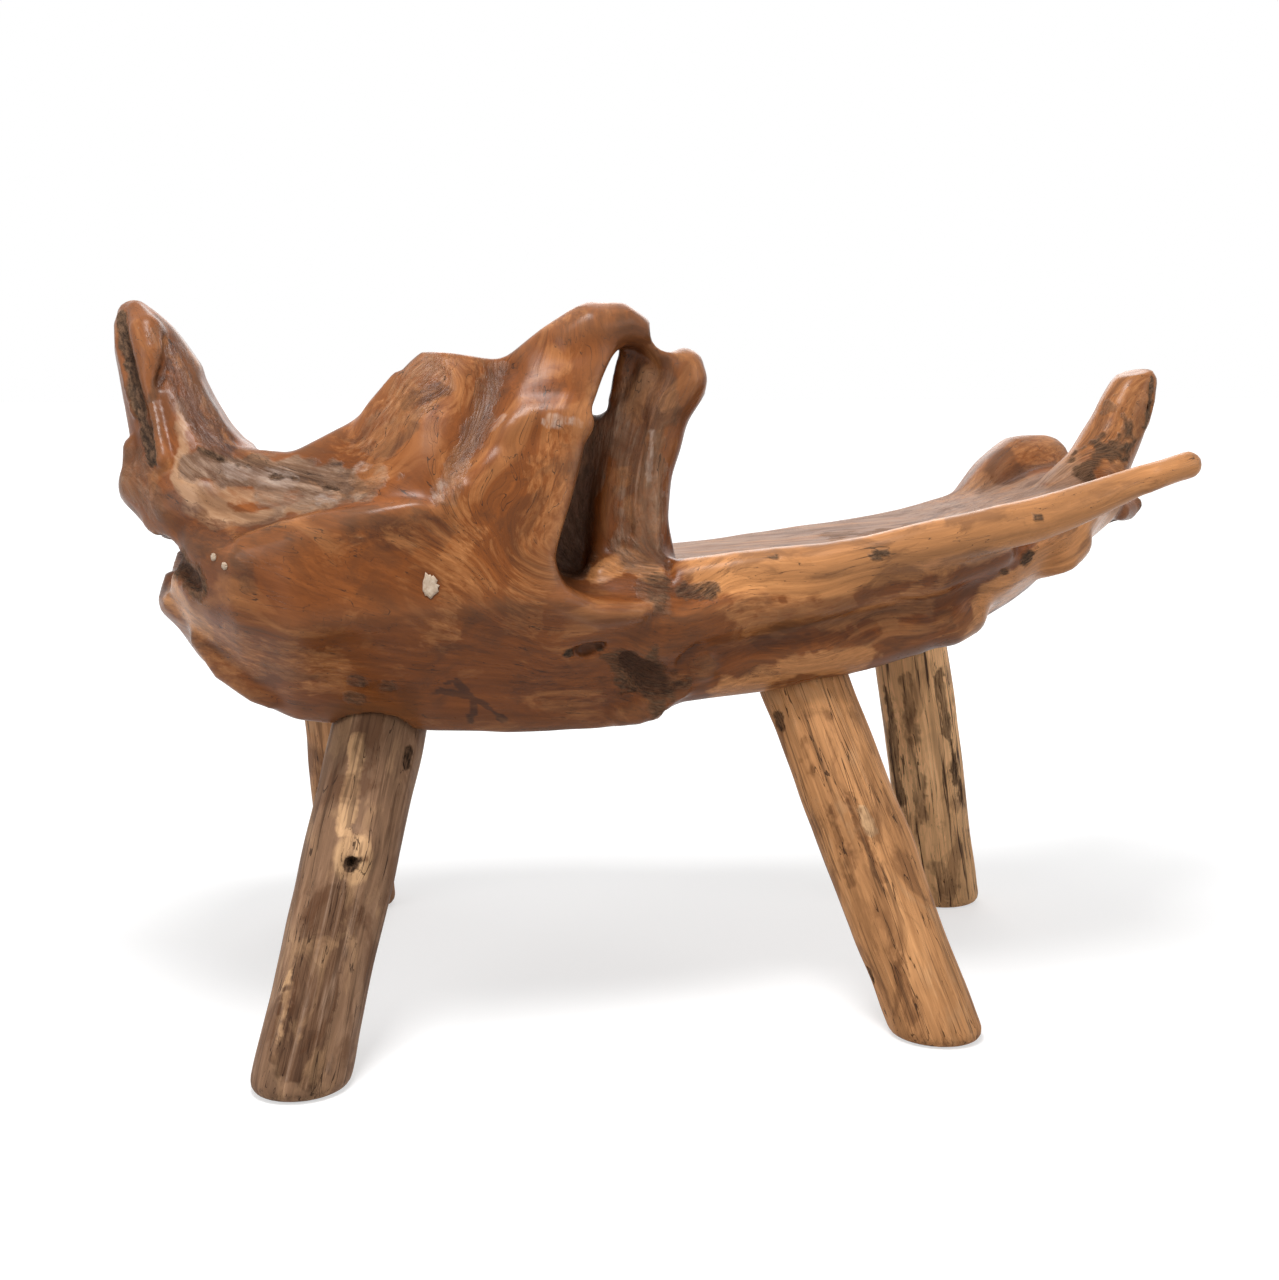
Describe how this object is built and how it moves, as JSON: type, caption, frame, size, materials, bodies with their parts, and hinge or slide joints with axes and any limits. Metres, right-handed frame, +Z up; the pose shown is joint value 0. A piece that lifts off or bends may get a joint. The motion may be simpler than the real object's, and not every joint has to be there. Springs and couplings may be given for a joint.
{
  "type": "teak bench",
  "caption": "Bench carved from one teak root, with a wave-topped back, a long root arm rail and round splayed legs.",
  "frame": {"origin": "on the floor under the middle of the bench's bounding box", "axes": "+X along the bench towards the arm rail's tip, -Y towards the carved back, +Z up"},
  "size_m": [1.1038, 0.6861, 0.71],
  "materials": {
    "teak_heartwood": "satin",
    "teak_leg": "satin",
    "hardwood_pin": "matte",
    "wood_filler": "matte"
  },
  "bodies": {
    "root": {"root_body": "teak_heartwood", "leg_rear_left": "teak_leg", "leg_rear_right": "teak_leg", "leg_front_left": "teak_leg", "leg_front_right": "teak_leg", "wedge_rear_left": "hardwood_pin", "wedge_rear_right": "hardwood_pin", "wedge_front_left": "hardwood_pin", "wedge_front_right": "hardwood_pin", "peg_rear_left": "hardwood_pin", "peg_rear_right": "hardwood_pin", "peg_front_left": "hardwood_pin", "peg_front_right": "hardwood_pin", "filler_patch": "wood_filler", "filler_speck_upper": "wood_filler", "filler_speck_lower": "wood_filler"}
  },
  "joints": []
}
